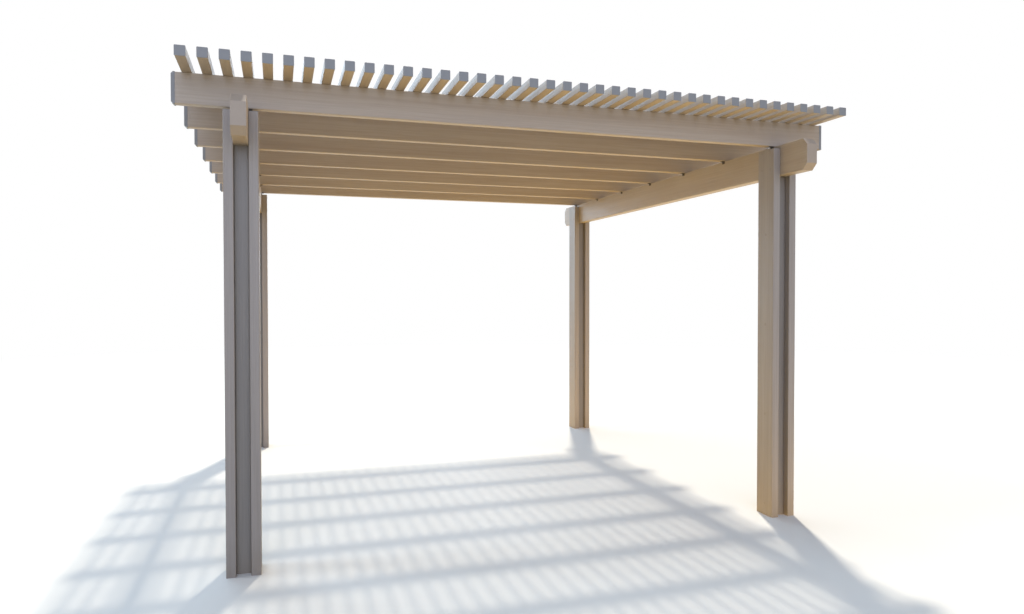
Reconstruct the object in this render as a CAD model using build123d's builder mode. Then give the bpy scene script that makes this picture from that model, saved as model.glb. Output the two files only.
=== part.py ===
from build123d import *
import os

# A four-post patio pergola of rolled aluminium sections: four posts, each clasped by two deep
# side plates, carry two beams; seven rafters cross the beams, and a lattice of square tubes lies
# across the rafters. The origin is on the ground at the centre of the four posts, X runs along
# the rafters, Y along the beams and Z up. All sizes are in millimetres.

# Layout of the frame
post_spacing_x = 3429.0
post_spacing_y = 3429.0
beam_underside = 2302.0
beam_overhang = 342.9
rafter_overhang = 342.9
rafter_count = 7
lattice_overhang = 312.0
lattice_margin = 50.8
lattice_pitch = 101.6
lattice_groups = 8

# Post: a square rolled tube with a foot plate welded inside its lower end
post_side = 76.2
post_wall = 3.2
post_corner = 5.0
foot_thickness = 8.0

# Side plate: a deep, narrow box section on each flank of a post, gripping the beam's sides
plate_width = 50.8
plate_depth = 165.1
plate_wall = 1.2
plate_corner = 4.0
plate_gap_to_rafter = 25.4

# Beam: a box section, mitred at the top and bottom of both ends
beam_width = 76.2
beam_height = 203.2
beam_wall = 1.5
beam_corner = 4.0
beam_mitre = 41.0

# Rafter: a box section on edge, mitred at its left end and square at its right end
rafter_width = 50.8
rafter_height = 165.1
rafter_wall = 1.1
rafter_corner = 4.0
rafter_mitre = 9.5

# Lattice tube
lattice_side = 50.8
lattice_wall = 0.8
lattice_bevel = 2.0

# End caps: folded over the beams' ends, pressed over the rafters' ends, flat on plates and tubes
beam_cap_sheet = 2.0
rafter_cap_sheet = 1.5
rafter_cap_lip = 17.5
flat_cap = 2.5
lattice_cap_rim = 0.8

# Angle clip that holds a rafter's underside to a beam's inner side
clip_leg = 20.0
clip_width = 30.0
clip_sheet = 3.0

# Heights and places that follow from the sizes above
beam_middle = beam_underside + beam_height / 2
beam_top = beam_underside + beam_height
plate_top = beam_top - plate_gap_to_rafter
rafter_middle = beam_top + rafter_height / 2
rafter_top = beam_top + rafter_height
lattice_middle = rafter_top + lattice_side / 2
beam_x = post_spacing_x / 2
post_y = post_spacing_y / 2
plate_offset = (post_side + plate_width) / 2
beam_length = post_spacing_y + 2 * beam_overhang
rafter_length = post_spacing_x + 2 * rafter_overhang
rafter_pitch = post_spacing_y / (rafter_count - 1)
lattice_length = post_spacing_y + 2 * lattice_overhang
lattice_bore = lattice_side - 2 * lattice_wall
lattice_count = round((rafter_length - 2 * lattice_margin - lattice_side) / lattice_pitch) + 1
sides = {"left": -1, "right": 1}
ends = {"front": -1, "back": 1}


def bevelled(width, height, leg, mode=Mode.ADD):
    """Draw a rectangle with bevelled corners, centred, in the open sketch."""
    with BuildSketch(mode=Mode.PRIVATE) as outline:
        Rectangle(width, height)
        chamfer(outline.vertices(), leg)
    add(outline.sketch, mode=mode)


def section(width, height, wall, corner):
    """Draw a rolled box section in the open sketch, its bends round outside and bevelled inside."""
    RectangleRounded(width, height, corner)
    bevelled(width - 2 * wall, height - 2 * wall, corner - wall, mode=Mode.SUBTRACT)


def along_x(y, z, x=0):
    """A plane that faces +X, with its own X along Y and its own Y upwards."""
    return Plane(origin=(x, y, z), x_dir=(0, 1, 0), z_dir=(1, 0, 0))


def along_y(x, z, y=0):
    """A plane that faces -Y, with its own X along X and its own Y upwards."""
    return Plane(origin=(x, y, z), x_dir=(1, 0, 0), z_dir=(0, -1, 0))


def cap_leg(leg, sheet):
    """The mitre's leg on the cut end under a cap, whose sheet is equally thick all round."""
    return leg + (2**0.5 - 1) * sheet


def parallel_leg(leg, step):
    """The bevel's leg on an outline that runs a step outside a bevelled one, or inside if negative."""
    return leg + (2 - 2**0.5) * step


def save(piece, name):
    """Label a finished piece and write it as its own file."""
    piece.part.label = name
    export_step(piece.part, f"parts/{name}.step")


os.makedirs("parts", exist_ok=True)

# Posts
for side, sign_x in sides.items():
    for end, sign_y in ends.items():
        with BuildPart() as post:
            with BuildSketch(Plane((sign_x * beam_x, sign_y * post_y, 0))):
                section(post_side, post_side, post_wall, post_corner)
            extrude(amount=beam_underside)
            with BuildSketch(Plane((sign_x * beam_x, sign_y * post_y, 0))):
                RectangleRounded(post_side, post_side, post_corner)
            extrude(amount=foot_thickness)
        save(post, f"post_{end}_{side}")

# Side plates, two to a post
for side, sign_x in sides.items():
    for end, sign_y in ends.items():
        for flank, sign_flank in {"outer": sign_x, "inner": -sign_x}.items():
            plate_x = sign_x * beam_x + sign_flank * plate_offset
            with BuildPart() as plate:
                with BuildSketch(Plane((plate_x, sign_y * post_y, 0))):
                    section(plate_width, plate_depth, plate_wall, plate_corner)
                extrude(amount=plate_top - flat_cap)
            save(plate, f"side_plate_{end}_{side}_{flank}")

# Flat caps on the side plates
with BuildPart() as plate_caps:
    with BuildSketch(Plane.XY.offset(plate_top - flat_cap)):
        with GridLocations(post_spacing_x, post_spacing_y, 2, 2):
            with GridLocations(2 * plate_offset, 0, 2, 1):
                RectangleRounded(plate_width, plate_depth, plate_corner)
    extrude(amount=flat_cap)
save(plate_caps, "side_plate_caps")

# Beams, cut back at both ends for their folded caps
for side, sign_x in sides.items():
    with BuildPart() as beam:
        with BuildSketch(along_y(sign_x * beam_x, beam_middle)):
            section(beam_width, beam_height, beam_wall, beam_corner)
        extrude(amount=beam_length / 2, both=True)
        with BuildSketch(along_x(0, beam_middle, sign_x * beam_x)) as outline:
            Rectangle(beam_length - 2 * beam_cap_sheet, beam_height)
            chamfer(outline.vertices(), cap_leg(beam_mitre, beam_cap_sheet))
        extrude(amount=beam_width, both=True, mode=Mode.INTERSECT)
    save(beam, f"beam_{side}")

# Folded caps that close the beams' mitred ends
for side, sign_x in sides.items():
    for end, sign_y in ends.items():
        with BuildPart() as beam_cap:
            with BuildSketch(along_x(0, beam_middle, sign_x * beam_x)) as fold:
                Rectangle(beam_length, beam_height)
                chamfer(fold.vertices(), beam_mitre)
                with BuildSketch(mode=Mode.PRIVATE) as cut_end:
                    Rectangle(beam_length - 2 * beam_cap_sheet, beam_height)
                    chamfer(cut_end.vertices(), cap_leg(beam_mitre, beam_cap_sheet))
                add(cut_end.sketch, mode=Mode.SUBTRACT)
                with Locations((-sign_y * beam_length / 2, 0)):
                    Rectangle(beam_length, beam_height, mode=Mode.SUBTRACT)
            extrude(amount=beam_width / 2, both=True)
        save(beam_cap, f"beam_cap_{end}_{side}")

# Rafters, numbered from the front
for number in range(rafter_count):
    rafter_y = -post_y + number * rafter_pitch
    with BuildPart() as rafter:
        with BuildSketch(along_x(rafter_y, rafter_middle)):
            section(rafter_width, rafter_height, rafter_wall, rafter_corner)
        extrude(amount=rafter_length / 2 - rafter_cap_sheet, both=True)
        with BuildSketch(along_y(0, rafter_middle, rafter_y)) as outline:
            Rectangle(rafter_length - 2 * rafter_cap_sheet, rafter_height)
            left_corners = outline.vertices().group_by(Axis.X)[0]
            chamfer(left_corners, cap_leg(rafter_mitre, rafter_cap_sheet))
        extrude(amount=rafter_width, both=True, mode=Mode.INTERSECT)
    save(rafter, f"rafter_{number + 1}")

# Caps pressed over the rafters' ends, with a lip along all four sides and eased outer edges
for side, sign_x in sides.items():
    cap_length = rafter_cap_lip + rafter_cap_sheet
    cap_x = sign_x * (rafter_length - cap_length) / 2
    pocket_x = cap_x - sign_x * rafter_cap_sheet / 2
    with BuildPart() as rafter_cap:
        with BuildSketch(along_y(cap_x, rafter_middle)) as outline:
            Rectangle(cap_length, rafter_height + 2 * rafter_cap_sheet)
            if side == "left":
                left_corners = outline.vertices().group_by(Axis.X)[0]
                chamfer(left_corners, rafter_mitre + rafter_cap_sheet)
        extrude(amount=rafter_width / 2 + rafter_cap_sheet, both=True)
        flank_edges = rafter_cap.faces().filter_by(Axis.Y).edges()
        mouth_first = flank_edges.sort_by(lambda edge: sign_x * edge.center().X)
        chamfer(mouth_first[2:], rafter_cap_sheet)
        with BuildSketch(along_y(pocket_x, rafter_middle)) as pocket:
            Rectangle(rafter_cap_lip, rafter_height)
            if side == "left":
                left_corners = pocket.vertices().group_by(Axis.X)[0]
                chamfer(left_corners, cap_leg(rafter_mitre, rafter_cap_sheet))
        extrude(amount=rafter_width / 2, both=True, mode=Mode.SUBTRACT)
    with BuildPart() as rafter_caps:
        with GridLocations(0, rafter_pitch, 1, rafter_count):
            add(rafter_cap.part)
    save(rafter_caps, f"rafter_caps_{side}")

# Angle clips under the rafters, against the beams' inner sides
for side, sign_x in sides.items():
    beam_side = sign_x * (beam_x - beam_width / 2)
    with BuildPart() as clips:
        for number in range(rafter_count):
            with BuildSketch(along_y(0, 0, -post_y + number * rafter_pitch)):
                with BuildLine():
                    Polyline(
                        (beam_side, beam_top),
                        (beam_side, beam_top - clip_leg),
                        (beam_side - sign_x * clip_sheet, beam_top - clip_leg),
                        (beam_side - sign_x * clip_sheet, beam_top - clip_sheet),
                        (beam_side - sign_x * clip_leg, beam_top - clip_sheet),
                        (beam_side - sign_x * clip_leg, beam_top),
                        close=True,
                    )
                make_face()
            extrude(amount=clip_width / 2, both=True)
    save(clips, f"rafter_clips_{side}")

# Lattice tubes, numbered from the left and kept in groups
for group in range(lattice_groups):
    first = round(group * lattice_count / lattice_groups)
    beyond = round((group + 1) * lattice_count / lattice_groups)
    with BuildPart() as lattice:
        for number in range(first, beyond):
            lattice_x = (number - (lattice_count - 1) / 2) * lattice_pitch
            with BuildSketch(along_y(lattice_x, lattice_middle)):
                bevelled(lattice_side, lattice_side, lattice_bevel)
                bore_bevel = parallel_leg(lattice_bevel, -lattice_wall)
                bevelled(lattice_bore, lattice_bore, bore_bevel, Mode.SUBTRACT)
            extrude(amount=lattice_length / 2 - flat_cap, both=True)
    save(lattice, f"lattice_tubes_{group + 1}")

# Flat caps on the lattice tubes' ends, each with an eased rim that stands proud all round
rim_side = lattice_side + 2 * lattice_cap_rim
for end, sign_y in ends.items():
    with BuildPart() as lattice_cap:
        with BuildSketch(along_y(0, lattice_middle, sign_y * (lattice_length - flat_cap) / 2)):
            bevelled(rim_side, rim_side, parallel_leg(lattice_bevel, lattice_cap_rim))
        extrude(amount=flat_cap / 2, both=True)
        outer_face = lattice_cap.faces().sort_by(lambda face: sign_y * face.center().Y)[-1]
        chamfer(outer_face.edges(), lattice_cap_rim)
    with BuildPart() as lattice_caps:
        with GridLocations(lattice_pitch, 0, lattice_count, 1):
            add(lattice_cap.part)
    save(lattice_caps, f"lattice_caps_{end}")
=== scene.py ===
import math
import bmesh
import bpy
from mathutils import Matrix, Vector


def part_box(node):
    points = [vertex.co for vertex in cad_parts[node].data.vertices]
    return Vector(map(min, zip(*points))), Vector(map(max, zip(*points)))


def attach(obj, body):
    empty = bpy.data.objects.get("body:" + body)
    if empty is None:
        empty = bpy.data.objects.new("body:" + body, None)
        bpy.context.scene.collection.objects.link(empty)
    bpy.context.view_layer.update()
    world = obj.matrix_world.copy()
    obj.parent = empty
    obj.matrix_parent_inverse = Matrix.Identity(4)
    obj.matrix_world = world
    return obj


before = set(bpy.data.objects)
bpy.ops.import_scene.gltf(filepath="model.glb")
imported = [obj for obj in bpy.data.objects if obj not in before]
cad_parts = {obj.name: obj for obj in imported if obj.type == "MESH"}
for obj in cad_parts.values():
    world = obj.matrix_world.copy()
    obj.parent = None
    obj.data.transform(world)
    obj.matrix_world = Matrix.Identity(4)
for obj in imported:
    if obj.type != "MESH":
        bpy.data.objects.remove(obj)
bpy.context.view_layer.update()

# A pergola of rolled aluminium sheet with a baked tan enamel, embossed with a faint wood grain.
# Every member comes from model.glb. This script gives them their finish, and adds the screws, the
# rivets, the plugs that close the screw holes, and the lock seams of the lattice tubes.

MM = 0.001

# Paint colours, as they look in plain light, except the side plates', the posts' and the clips', which are
# darkened as painted shade
TAN = "#A69686"
TAN_DARK = "#8E7F6F"
TAN_PALE = "#AFA192"
# Painted shade: the side plates' colours are greyer and darker than the rafters' paint, to stand for the cool
# shade the plates stand in
PLATE_SHADED_TAN = "#938A83"
PLATE_SHADED_DARK = "#7B726C"
PLATE_SHADED_PALE = "#9D948E"
# Painted shade: the posts' colours are darker than the plates', to stand for the shade in the recess between
# the side plates where the posts stand
POST_SHADED_TAN = "#807870"
POST_SHADED_DARK = "#6C645D"
POST_SHADED_PALE = "#8A8279"
CAP_GREY = "#868688"
# Painted shade: the clips and their screws are dark brown to stand for the shade where each rafter crosses a
# beam
CLIP_SHADE_BROWN = "#4F453B"
DUST = "#877B6C"

# Emboss of the rolled sheet. Real grain lines are 2 to 4 mm wide, and are drawn wider to show
GRAIN_WIDTH = 9 * MM
GRAIN_LENGTH = 420 * MM
GRAIN_DEPTH = 0.35 * MM
GRAIN_DETAIL = 3.0
GRAIN_EDGES = (0.38, 0.62)  # the noise at a valley's floor and at a ridge's top
VALLEY_SHARE = 0.24  # how far a valley's floor goes to the dark colour
ENAMEL_ROUGHNESS = (0.40, 0.52)  # from the least noise to the most

# Slow drift of tone that the rolls leave across a member
DRIFT_WIDTH = 55 * MM
DRIFT_LENGTH = 2520 * MM
DRIFT_DETAIL = 2.0
STREAK_ROUGHNESS = 0.55  # how much the finer octaves count, in grain and drift alike
NOISE_SPAN = (0.3, 0.7)  # the values that the noise mostly keeps between

# Spray and dust. Real orange peel is about 1 mm wide, and is drawn at 3 to show
PEEL_SIZE = 3 * MM
PEEL_DEPTH = 0.05 * MM
PEEL_DETAIL = 1.0
SPRAY_PATCH = 71.4 * MM
SPRAY_DETAIL = 3.0
SPRAY_SHADE = 0.88  # the thin patches' share of the full colour
DUST_HEIGHT = 220 * MM
DUST_PATCH = 111 * MM
DUST_DETAIL = 4.0

# Fasteners. A washer's sizes are shares of the radius and the rise of the head on it
LATTICE_PITCH = 101.6 * MM
LATTICE_PLUG = {"Radius": 8 * MM, "Crown": 6.8 * MM, "Rise": 0.7 * MM, "Sides": 16}
PLATE_PLUG = {"Radius": 9.5 * MM, "Crown": 7.5 * MM, "Rise": 1.4 * MM, "Sides": 18}
PLATE_PLUG_FIRST = 80 * MM
PLATE_PLUG_STEP = 609.6 * MM
PLATE_PLUG_ROWS = 4
BEAM_PLUG_SPREAD = (45 * MM, 60 * MM)
CLIP_SCREW = {"Radius": 3.6 * MM, "Crown": 3.3 * MM, "Rise": 3 * MM, "Sides": 6, "Washer": True}
CLIP_SHEET = 3 * MM
CLIP_SCREW_PLACE = 0.58  # as a share of the leg, from the clip's corner
CAP_RIVET = {"Radius": 3 * MM, "Crown": 1.6 * MM, "Rise": 1 * MM, "Sides": 12}
CAP_RIVET_SPREAD = 50 * MM
WASHER_SIDES = 16
WASHER_FOOT = 1.6
WASHER_CROWN = 1.5
WASHER_RISE = 0.3
SEAM_WIDTH = 9 * MM
SEAM_RISE = 0.5 * MM
SEAM_OFFSET = 14 * MM


def linear(code):
    """A colour written as sRGB hex, turned to the linear values that a shader takes."""
    parts = [int(code[i : i + 2], 16) / 255 for i in (1, 3, 5)]
    return [c / 12.92 if c <= 0.04045 else ((c + 0.055) / 1.055) ** 2.4 for c in parts] + [1.0]


def add_node(tree, kind, inputs=None, **settings):
    """Add a node with its settings. An input is a value, or an output that is linked to it."""
    made = tree.nodes.new(kind)
    for name, value in settings.items():
        setattr(made, name, value)
    for key, value in (inputs or {}).items():
        if isinstance(value, bpy.types.NodeSocket):
            tree.links.new(value, made.inputs[key])
        else:
            made.inputs[key].default_value = value
    return made


def new_material(name):
    """A node material, with its tree and its Principled shader."""
    material = bpy.data.materials.new(name)
    material.use_nodes = True
    tree = material.node_tree
    return material, tree, tree.nodes["Principled BSDF"]


def drawn_out_noise(tree, place, along, width, length, detail):
    """Noise drawn out along one axis, as rolls leave it on sheet."""
    scale = [1 / width] * 3
    scale["XYZ".index(along)] = 1 / length
    drawn = add_node(tree, "ShaderNodeMapping", {"Vector": place, "Scale": scale})
    noise = add_node(tree, "ShaderNodeTexNoise", {
        "Vector": drawn.outputs["Vector"],
        "Scale": 1.0,
        "Detail": detail,
        "Roughness": STREAK_ROUGHNESS,
    })
    return noise.outputs["Fac"]


def orange_peel(tree, place):
    """The fine unevenness of sprayed enamel, as a bent normal."""
    inputs = {"Vector": place, "Scale": 1 / PEEL_SIZE, "Detail": PEEL_DETAIL}
    peel = add_node(tree, "ShaderNodeTexNoise", inputs)
    bump = {"Height": peel.outputs["Fac"], "Strength": 1.0, "Distance": PEEL_DEPTH}
    return add_node(tree, "ShaderNodeBump", bump).outputs["Normal"]


def dust_share(tree, place):
    """How much dust clings low on a member, from 0 to 1, in uneven patches."""
    height = add_node(tree, "ShaderNodeSeparateXYZ", {"Vector": place}).outputs["Z"]
    inputs = {"Value": height, "From Max": DUST_HEIGHT, "To Min": 1.0, "To Max": 0.0}
    low = add_node(tree, "ShaderNodeMapRange", inputs)
    inputs = {"Vector": place, "Scale": 1 / DUST_PATCH, "Detail": DUST_DETAIL}
    patches = add_node(tree, "ShaderNodeTexNoise", inputs)
    inputs = {0: low.outputs["Result"], 1: patches.outputs["Fac"]}
    return add_node(tree, "ShaderNodeMath", inputs, operation="MULTIPLY", use_clamp=True).outputs["Value"]


def embossed_enamel(name, along, colours=(TAN_DARK, TAN, TAN_PALE), dusty=False):
    """Baked enamel on embossed rolled aluminium: satin, with faint grain lines along the member that
    are darker in their valleys, and a slow drift of tone across it from the rolls."""
    dark, plain, pale = (linear(code) for code in colours)
    material, tree, shader = new_material(name)
    place = add_node(tree, "ShaderNodeTexCoord").outputs["Object"]
    grain = drawn_out_noise(tree, place, along, GRAIN_WIDTH, GRAIN_LENGTH, GRAIN_DETAIL)
    drift = drawn_out_noise(tree, place, along, DRIFT_WIDTH, DRIFT_LENGTH, DRIFT_DETAIL)
    low, high = GRAIN_EDGES
    inputs = {"Value": grain, "From Min": low, "From Max": high}
    ridge = add_node(tree, "ShaderNodeMapRange", inputs, interpolation_type="SMOOTHSTEP").outputs["Result"]
    least, most = NOISE_SPAN
    tone = add_node(tree, "ShaderNodeMapRange", {"Value": drift, "From Min": least, "From Max": most})
    inputs = {"Factor": tone.outputs["Result"], "A": plain, "B": pale}
    drifted = add_node(tree, "ShaderNodeMix", inputs, data_type="RGBA")
    valley = add_node(tree, "ShaderNodeMapRange", {"Value": ridge, "To Min": VALLEY_SHARE, "To Max": 0.0})
    inputs = {"Factor": valley.outputs["Result"], "A": drifted.outputs["Result"], "B": dark}
    colour = add_node(tree, "ShaderNodeMix", inputs, data_type="RGBA").outputs["Result"]
    if dusty:
        inputs = {"Factor": dust_share(tree, place), "A": colour, "B": linear(DUST)}
        colour = add_node(tree, "ShaderNodeMix", inputs, data_type="RGBA").outputs["Result"]
    tree.links.new(colour, shader.inputs["Base Color"])
    smoothest, roughest = ENAMEL_ROUGHNESS
    gloss = add_node(tree, "ShaderNodeMapRange", {
        "Value": grain,
        "From Min": least,
        "From Max": most,
        "To Min": smoothest,
        "To Max": roughest,
    })
    tree.links.new(gloss.outputs["Result"], shader.inputs["Roughness"])
    bump = {"Height": ridge, "Strength": 1.0, "Distance": GRAIN_DEPTH, "Normal": orange_peel(tree, place)}
    normal = add_node(tree, "ShaderNodeBump", bump).outputs["Normal"]
    tree.links.new(normal, shader.inputs["Normal"])
    return material


def sprayed_enamel(name, code, roughness):
    """Sprayed enamel on a cut or pressed part: no grain, only orange peel and a slight patchiness."""
    full = linear(code)
    thin = [SPRAY_SHADE * c for c in full[:3]] + [1.0]
    material, tree, shader = new_material(name)
    place = add_node(tree, "ShaderNodeTexCoord").outputs["Object"]
    inputs = {"Vector": place, "Scale": 1 / SPRAY_PATCH, "Detail": SPRAY_DETAIL}
    patches = add_node(tree, "ShaderNodeTexNoise", inputs)
    inputs = {"Factor": patches.outputs["Fac"], "A": thin, "B": full}
    colour = add_node(tree, "ShaderNodeMix", inputs, data_type="RGBA")
    tree.links.new(colour.outputs["Result"], shader.inputs["Base Color"])
    shader.inputs["Roughness"].default_value = roughness
    tree.links.new(orange_peel(tree, place), shader.inputs["Normal"])
    return material


enamel_along = {axis: embossed_enamel(f"embossed enamel along {axis}", axis) for axis in "XY"}
plate_shaded_colours = (PLATE_SHADED_DARK, PLATE_SHADED_TAN, PLATE_SHADED_PALE)
post_shaded_colours = (POST_SHADED_DARK, POST_SHADED_TAN, POST_SHADED_PALE)
# Painted shade: the side plates take the greyer, darker colours above
plate_shaded_enamel = embossed_enamel("embossed enamel with painted shade, side plates", "Z", plate_shaded_colours, dusty=True)
# Painted shade: the posts take the darker colours above, for the shade of their recess
post_shaded_enamel = embossed_enamel("embossed enamel with painted shade, posts", "Z", post_shaded_colours, dusty=True)
cap_enamel = sprayed_enamel("grey enamel, pressed caps", CAP_GREY, roughness=0.5)
beam_cap_enamel = sprayed_enamel("tan enamel, folded beam caps", TAN, roughness=0.45)
# Painted shade: a dark brown for the clips and their screws, standing for the shade at the rafter crossings
clip_shade_enamel = sprayed_enamel("painted shade, dark clips and their screws", CLIP_SHADE_BROWN, roughness=0.5)
lattice_plug_enamel = sprayed_enamel("tan enamel, lattice plugs", TAN_DARK, roughness=0.4)
# Painted shade: the plate plugs match the side plates' greyer, darker colour
plate_plug_shaded_enamel = sprayed_enamel("tan enamel with painted shade, plate plugs", PLATE_SHADED_TAN, roughness=0.4)

# What each kind of member is finished in. The first start that fits a node's name holds
finishes = {
    # Painted shade: the clips' dark finish
    "rafter_clips": clip_shade_enamel,
    "beam_cap": beam_cap_enamel,
    "rafter_caps": cap_enamel,
    "lattice_caps": cap_enamel,
    "side_plate_caps": cap_enamel,
    # Painted shade: the side plates' greyer, darker finish
    "side_plate": plate_shaded_enamel,
    # Painted shade: the posts' darker finish
    "post": post_shaded_enamel,
    "rafter": enamel_along["X"],
    "beam": enamel_along["Y"],
    "lattice": enamel_along["Y"],
}


def paint_members():
    """Give each CAD node the finish of its kind."""
    for node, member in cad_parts.items():
        finish = next(finish for start, finish in finishes.items() if node.startswith(start))
        member.data.materials.clear()
        member.data.materials.append(finish)


def new_inputs(tree, sockets):
    """Give a Geometry Nodes tree its named inputs and its output."""
    for name, kind in {"Geometry": "Geometry", **sockets, "Material": "Material"}.items():
        tree.interface.new_socket(name, in_out="INPUT", socket_type=f"NodeSocket{kind}")
    tree.interface.new_socket("Geometry", in_out="OUTPUT", socket_type="NodeSocketGeometry")


def close_tree(tree, instances, material):
    """End a Geometry Nodes tree: real meshes in place of instances, with their material."""
    real = add_node(tree, "GeometryNodeRealizeInstances", {"Geometry": instances})
    inputs = {"Geometry": real.outputs["Geometry"], "Material": material}
    painted = add_node(tree, "GeometryNodeSetMaterial", inputs)
    add_node(tree, "NodeGroupOutput", {"Geometry": painted.outputs["Geometry"]})


def washer_under(tree, given):
    """A thin round washer that stands out beyond the head on it."""
    sizes = {"Vertices": WASHER_SIDES}
    for size, source, share in (
        ("Radius Bottom", "Radius", WASHER_FOOT),
        ("Radius Top", "Radius", WASHER_CROWN),
        ("Depth", "Rise", WASHER_RISE),
    ):
        scaled = add_node(tree, "ShaderNodeMath", {0: given[source], 1: share}, operation="MULTIPLY")
        sizes[size] = scaled.outputs["Value"]
    return add_node(tree, "GeometryNodeMeshCone", sizes).outputs["Mesh"]


def fastener_tree():
    """One head on each point, standing on the face it faces from: a plug, a rivet or a hex screw."""
    tree = bpy.data.node_groups.new("fasteners", "GeometryNodeTree")
    new_inputs(tree, {"Sides": "Int", "Radius": "Float", "Crown": "Float", "Rise": "Float",
                      "Washer": "Bool"})
    given = add_node(tree, "NodeGroupInput").outputs
    head = add_node(tree, "GeometryNodeMeshCone", {
        "Vertices": given["Sides"],
        "Radius Top": given["Crown"],
        "Radius Bottom": given["Radius"],
        "Depth": given["Rise"],
    }).outputs["Mesh"]
    both = add_node(tree, "GeometryNodeJoinGeometry", {"Geometry": head})
    tree.links.new(washer_under(tree, given), both.inputs["Geometry"])
    inputs = {"Switch": given["Washer"], "False": head, "True": both.outputs["Geometry"]}
    chosen = add_node(tree, "GeometryNodeSwitch", inputs, input_type="GEOMETRY")
    facing = add_node(tree, "GeometryNodeInputNamedAttribute", {"Name": "facing"},
                      data_type="FLOAT_VECTOR")
    turn = add_node(tree, "FunctionNodeAlignRotationToVector", {"Vector": facing.outputs["Attribute"]},
                    axis="Z")
    heads = add_node(tree, "GeometryNodeInstanceOnPoints", {
        "Points": given["Geometry"],
        "Instance": chosen.outputs["Output"],
        "Rotation": turn.outputs["Rotation"],
    })
    close_tree(tree, heads.outputs["Instances"], given["Material"])
    return tree


def seam_tree():
    """Long flat strips side by side, one to a tube, each the lock seam of its rolled sheet."""
    tree = bpy.data.node_groups.new("lock seams", "GeometryNodeTree")
    new_inputs(tree, {"Count": "Int", "Pitch": "Float", "Length": "Float", "Width": "Float",
                      "Rise": "Float"})
    given = add_node(tree, "NodeGroupInput").outputs
    step = add_node(tree, "ShaderNodeCombineXYZ", {"X": given["Pitch"]})
    inputs = {"Count": given["Count"], "Offset": step.outputs["Vector"]}
    row = add_node(tree, "GeometryNodeMeshLine", inputs)
    inputs = {"X": given["Width"], "Y": given["Length"], "Z": given["Rise"]}
    size = add_node(tree, "ShaderNodeCombineXYZ", inputs)
    strip = add_node(tree, "GeometryNodeMeshCube", {"Size": size.outputs["Vector"]})
    inputs = {"Points": row.outputs["Mesh"], "Instance": strip.outputs["Mesh"]}
    strips = add_node(tree, "GeometryNodeInstanceOnPoints", inputs)
    close_tree(tree, strips.outputs["Instances"], given["Material"])
    return tree


def grow(name, base, tree, values, material, start=(0, 0, 0)):
    """Run a Geometry Nodes tree on a base mesh, and keep the result as a plain piece."""
    seed = bpy.data.objects.new(name, base)
    bpy.context.scene.collection.objects.link(seed)
    modifier = seed.modifiers.new(name, "NODES")
    modifier.node_group = tree
    sockets = {s.name: s.identifier for s in tree.interface.items_tree if s.in_out == "INPUT"}
    for key, value in {**values, "Material": material}.items():
        modifier[sockets[key]] = value
    evaluated = seed.evaluated_get(bpy.context.evaluated_depsgraph_get())
    mesh = bpy.data.meshes.new_from_object(evaluated)
    seed.modifiers.remove(modifier)
    mesh.transform(Matrix.Translation(start))
    mesh.name = name
    seed.data = mesh
    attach(seed, "root")


fasteners = fastener_tree()


def fasten(name, spots, sizes, material):
    """Put one fastener on each spot, which is a place and the direction that the fastener faces."""
    points = bpy.data.meshes.new("points")
    points.from_pydata([place for place, facing in spots], [], [])
    attribute = points.attributes.new("facing", "FLOAT_VECTOR", "POINT")
    for i, (place, facing) in enumerate(spots):
        attribute.data[i].vector = facing
    grow(name, points, fasteners, sizes, material)


def corners(node):
    """The lowest and highest corners of a CAD node's box."""
    low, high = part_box(node)
    return Vector(low), Vector(high)


def middle(node):
    """The middle of a CAD node's box."""
    low, high = corners(node)
    return (low + high) / 2


# The rafters from the front, and the box and the tubes of the lattice on them
rafters = sorted(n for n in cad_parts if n.removeprefix("rafter_").isdigit())
tubes = [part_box(n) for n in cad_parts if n.startswith("lattice_tubes")]
lattice_low = Vector([min(low[i] for low, high in tubes) for i in range(3)])
lattice_high = Vector([max(high[i] for low, high in tubes) for i in range(3)])
tube_side = lattice_high.z - lattice_low.z
tube_count = round((lattice_high.x - lattice_low.x - tube_side) / LATTICE_PITCH) + 1
first_tube = lattice_low.x + tube_side / 2


def lattice_plugs():
    """A plug over each hole in a tube's top, where its screw is driven down into a rafter."""
    spots = []
    for rafter in rafters:
        for i in range(tube_count):
            place = (first_tube + i * LATTICE_PITCH, middle(rafter).y, lattice_high.z)
            spots.append((place, (0, 0, 1)))
    fasten("lattice_plugs", spots, LATTICE_PLUG, lattice_plug_enamel)


def lattice_seams():
    """The lock seam along the top of each tube, to one side of its plugs."""
    values = {
        "Count": tube_count,
        "Pitch": LATTICE_PITCH,
        "Length": lattice_high.y - lattice_low.y,
        "Width": SEAM_WIDTH,
        "Rise": 2 * SEAM_RISE,
    }
    start = (first_tube + SEAM_OFFSET, (lattice_low.y + lattice_high.y) / 2, lattice_high.z)
    base = bpy.data.meshes.new("seam base")
    grow("lattice_seams", base, seam_tree(), values, enamel_along["Y"], start)


def plate_plugs():
    """Plugs over the screw holes in the side plates' broad faces, on the beam and down the post."""
    spots = []
    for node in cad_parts:
        if not node.startswith("side_plate_") or node == "side_plate_caps":
            continue
        low, high = corners(node)
        centre = middle(node)
        beam = middle("beam_left" if "left" in node else "beam_right")
        facing = 1 if centre.x > beam.x else -1
        x = high.x if facing > 0 else low.x
        for row in range(PLATE_PLUG_ROWS):
            spots.append(((x, centre.y, PLATE_PLUG_FIRST + row * PLATE_PLUG_STEP), (facing, 0, 0)))
        for across in (-1, 1):
            for up in (-1, 1):
                y = centre.y + across * BEAM_PLUG_SPREAD[0]
                z = beam.z + up * BEAM_PLUG_SPREAD[1]
                spots.append(((x, y, z), (facing, 0, 0)))
    # Painted shade: these plugs take the side plates' greyer, darker colour
    fasten("plate_plugs", spots, PLATE_PLUG, plate_plug_shaded_enamel)


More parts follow.
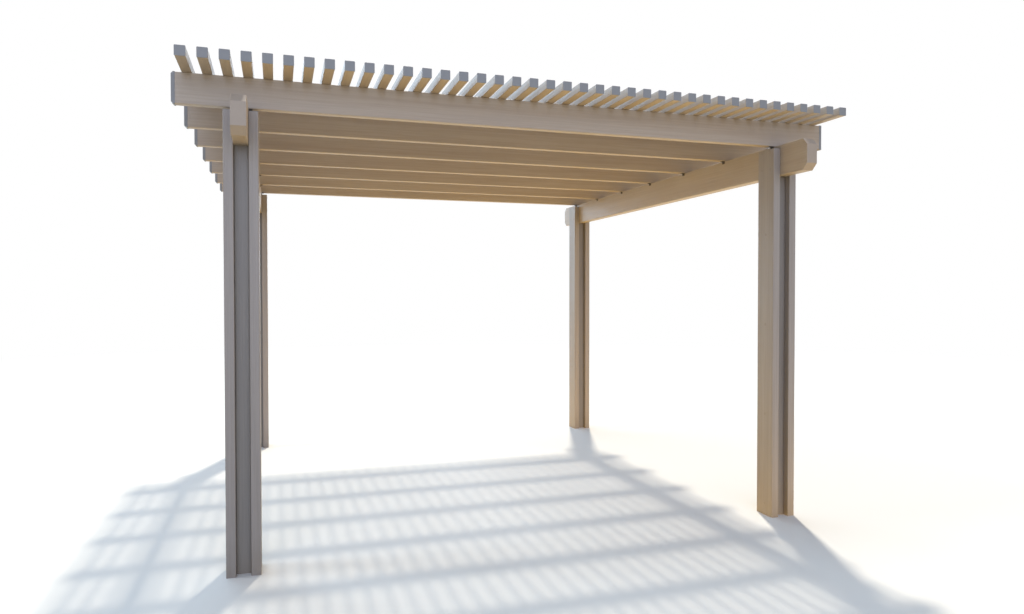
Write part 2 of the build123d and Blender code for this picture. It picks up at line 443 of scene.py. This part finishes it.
def clip_screws():
    """Hex screws in both legs of each angle clip, into the beam and up into the rafter."""
    spots = []
    for side, inward in (("left", 1), ("right", -1)):
        low, high = corners(f"rafter_clips_{side}")
        beam_face = low.x if inward > 0 else high.x
        reach = CLIP_SCREW_PLACE * (high.x - low.x)
        for rafter in rafters:
            y = middle(rafter).y
            spots.append(((beam_face + inward * CLIP_SHEET, y, high.z - reach), (inward, 0, 0)))
            spots.append(((beam_face + inward * reach, y, high.z - CLIP_SHEET), (0, 0, -1)))
    # Painted shade: the screws take the clips' dark colour
    fasten("clip_screws", spots, CLIP_SCREW, clip_shade_enamel)


def cap_rivets():
    """Rivets through the lips of the rafters' caps, two on each side."""
    spots = []
    for side in ("left", "right"):
        low, high = corners(f"rafter_caps_{side}")
        x = (low.x + high.x) / 2
        reach = middle(rafters[0]).y - low.y
        for rafter in rafters:
            centre = middle(rafter)
            for facing in (-1, 1):
                for up in (-1, 1):
                    place = (x, centre.y + facing * reach, centre.z + up * CAP_RIVET_SPREAD)
                    spots.append((place, (0, facing, 0)))
    fasten("cap_rivets", spots, CAP_RIVET, cap_enamel)


# Camera, at the photograph's viewpoint. The sensor is in millimetres, the reach in metres
SENSOR = 36.0
IMAGE_WIDTH = 1024
FOCAL_PIXELS = 731.9
CAMERA_PLACE = Vector((-1535.8, -5930.3, 1509.3)) * MM
CAMERA_YAW = math.radians(17.781)
CAMERA_PITCH = math.radians(-1.031)
CAMERA_ROLL = math.radians(0.041)
CAMERA_REACH = (0.05, 500)


def photo_camera():
    """The camera, rolled, pitched up from looking straight down, and turned to its bearing."""
    data = bpy.data.cameras.new("camera")
    data.sensor_width = SENSOR
    data.lens = FOCAL_PIXELS / IMAGE_WIDTH * SENSOR
    data.clip_start, data.clip_end = CAMERA_REACH
    camera = bpy.data.objects.new("camera", data)
    turn = Matrix.Rotation(-CAMERA_YAW, 4, "Z") @ Matrix.Rotation(math.pi / 2 + CAMERA_PITCH, 4, "X")
    roll = Matrix.Rotation(-CAMERA_ROLL, 4, "Z")
    camera.matrix_world = Matrix.Translation(CAMERA_PLACE) @ turn @ roll
    bpy.context.scene.collection.objects.link(camera)
    bpy.context.scene.camera = camera


# Studio, in metres. The floor is seen pale, fading to the white background. The light that it
# throws up is warm and strong round its bright middle, and weaker outside
FLOOR_RADIUS = 80.0
FLOOR_SIDES = 96
FLOOR_SEEN = "#EBE7DF"
FLOOR_FADE = (5.0, 16.0)
FLOOR_MIDDLE = (1.5, 0.0, 0.0)
FLOOR_BRIGHT = (2.0, 4.0)
FLOOR_INNER = "#FDD068"
FLOOR_OUTER = "#C0B59A"
FLOOR_GLOW = 1.0
FLOOR_ROUGHNESS = 0.9
SKY = "#E9F1FF"
SKY_STRENGTH = 0.33


def shown_share(tree):
    """1 for rays that show a surface to the eye, directly, mirrored or through glass, and 0 for its light."""
    path = add_node(tree, "ShaderNodeLightPath").outputs
    shown = path["Is Camera Ray"]
    for ray in ("Is Glossy Ray", "Is Transmission Ray"):
        inputs = {0: shown, 1: path[ray]}
        shown = add_node(tree, "ShaderNodeMath", inputs, operation="MAXIMUM").outputs["Value"]
    return shown


def outside_share(tree, place, centre, radii):
    """0 inside the first radius round a centre, and 1 outside the second."""
    reach = add_node(tree, "ShaderNodeVectorMath", {0: place, 1: centre}, operation="DISTANCE")
    inputs = {"Value": reach.outputs["Value"], "From Min": radii[0], "From Max": radii[1]}
    share = add_node(tree, "ShaderNodeMapRange", inputs, interpolation_type="SMOOTHSTEP")
    return share.outputs["Result"]


def pale_matt():
    """Pale matt paint for the floor, which glows to make up the warm light of its bright middle."""
    material, tree, shader = new_material("pale matt floor")
    seen = shown_share(tree)
    place = add_node(tree, "ShaderNodeTexCoord").outputs["Object"]
    faded = outside_share(tree, place, (0, 0, 0), FLOOR_FADE)
    outside = outside_share(tree, place, FLOOR_MIDDLE, FLOOR_BRIGHT)
    inputs = {"Factor": outside, "A": linear(FLOOR_INNER), "B": linear(FLOOR_OUTER)}
    bounce = add_node(tree, "ShaderNodeMix", inputs, data_type="RGBA")
    inputs = {"Factor": seen, "A": bounce.outputs["Result"], "B": linear(FLOOR_SEEN)}
    colour = add_node(tree, "ShaderNodeMix", inputs, data_type="RGBA")
    tree.links.new(colour.outputs["Result"], shader.inputs["Base Color"])
    shader.inputs["Roughness"].default_value = FLOOR_ROUGHNESS
    strength = add_node(tree, "ShaderNodeMapRange", {"Value": outside, "To Min": FLOOR_GLOW, "To Max": 0.0})
    inputs = {"Color": linear(FLOOR_INNER), "Strength": strength.outputs["Result"]}
    glow = add_node(tree, "ShaderNodeEmission", inputs)
    lit = add_node(tree, "ShaderNodeAddShader", {0: shader.outputs["BSDF"], 1: glow.outputs["Emission"]})
    white = add_node(tree, "ShaderNodeEmission", {"Strength": 1.0})
    inputs = {0: faded, 1: shader.outputs["BSDF"], 2: white.outputs["Emission"]}
    shown = add_node(tree, "ShaderNodeMixShader", inputs)
    inputs = {0: seen, 1: lit.outputs["Shader"], 2: shown.outputs["Shader"]}
    surface = add_node(tree, "ShaderNodeMixShader", inputs)
    tree.links.new(surface.outputs["Shader"], tree.nodes["Material Output"].inputs["Surface"])
    return material


def pale_floor():
    """A wide plain disc that keeps the object's shadow and is white far off."""
    mesh = bpy.data.meshes.new("floor")
    disc = bmesh.new()
    bmesh.ops.create_circle(disc, cap_ends=True, segments=FLOOR_SIDES, radius=FLOOR_RADIUS)
    disc.to_mesh(mesh)
    disc.free()
    floor = bpy.data.objects.new("floor", mesh)
    bpy.context.scene.collection.objects.link(floor)
    floor.data.materials.append(pale_matt())


def studio_world():
    """A soft cool sky that lights the object, and plain white where it is seen or mirrored."""
    world = bpy.data.worlds.new("studio")
    bpy.context.scene.world = world
    world.use_nodes = True
    tree = world.node_tree
    sky = tree.nodes["Background"]
    sky.inputs["Color"].default_value = linear(SKY)
    sky.inputs["Strength"].default_value = SKY_STRENGTH
    white = add_node(tree, "ShaderNodeBackground", {"Color": (1, 1, 1, 1), "Strength": 1.0})
    inputs = {0: shown_share(tree), 1: sky.outputs["Background"], 2: white.outputs["Background"]}
    surface = add_node(tree, "ShaderNodeMixShader", inputs)
    tree.links.new(surface.outputs["Shader"], tree.nodes["World Output"].inputs["Surface"])


def soft_sun(name, bearing, height, spread, strength, code):
    """A broad even light from far off. Its bearing is counted from +Y towards +X, in degrees."""
    data = bpy.data.lights.new(name, "SUN")
    data.angle = math.radians(spread)
    data.energy = strength
    data.color = linear(code)[:3]
    lamp = bpy.data.objects.new(name, data)
    lamp.rotation_euler = (math.radians(height - 90), 0, math.radians(-bearing))
    bpy.context.scene.collection.objects.link(lamp)


paint_members()
lattice_plugs()
lattice_seams()
plate_plugs()
clip_screws()
cap_rivets()
photo_camera()
pale_floor()
studio_world()
soft_sun("key", bearing=21, height=58, spread=3, strength=2.6, code="#FFF8EA")
soft_sun("fill", bearing=-175, height=15, spread=60, strength=1.95, code="#C4D8FF")
soft_sun("back", bearing=-15, height=16, spread=60, strength=2.5, code="#C6E4FF")
soft_sun("rim", bearing=-80, height=46, spread=16, strength=0.8, code="#DCEEFF")
bpy.context.scene.view_settings.view_transform = "Standard"
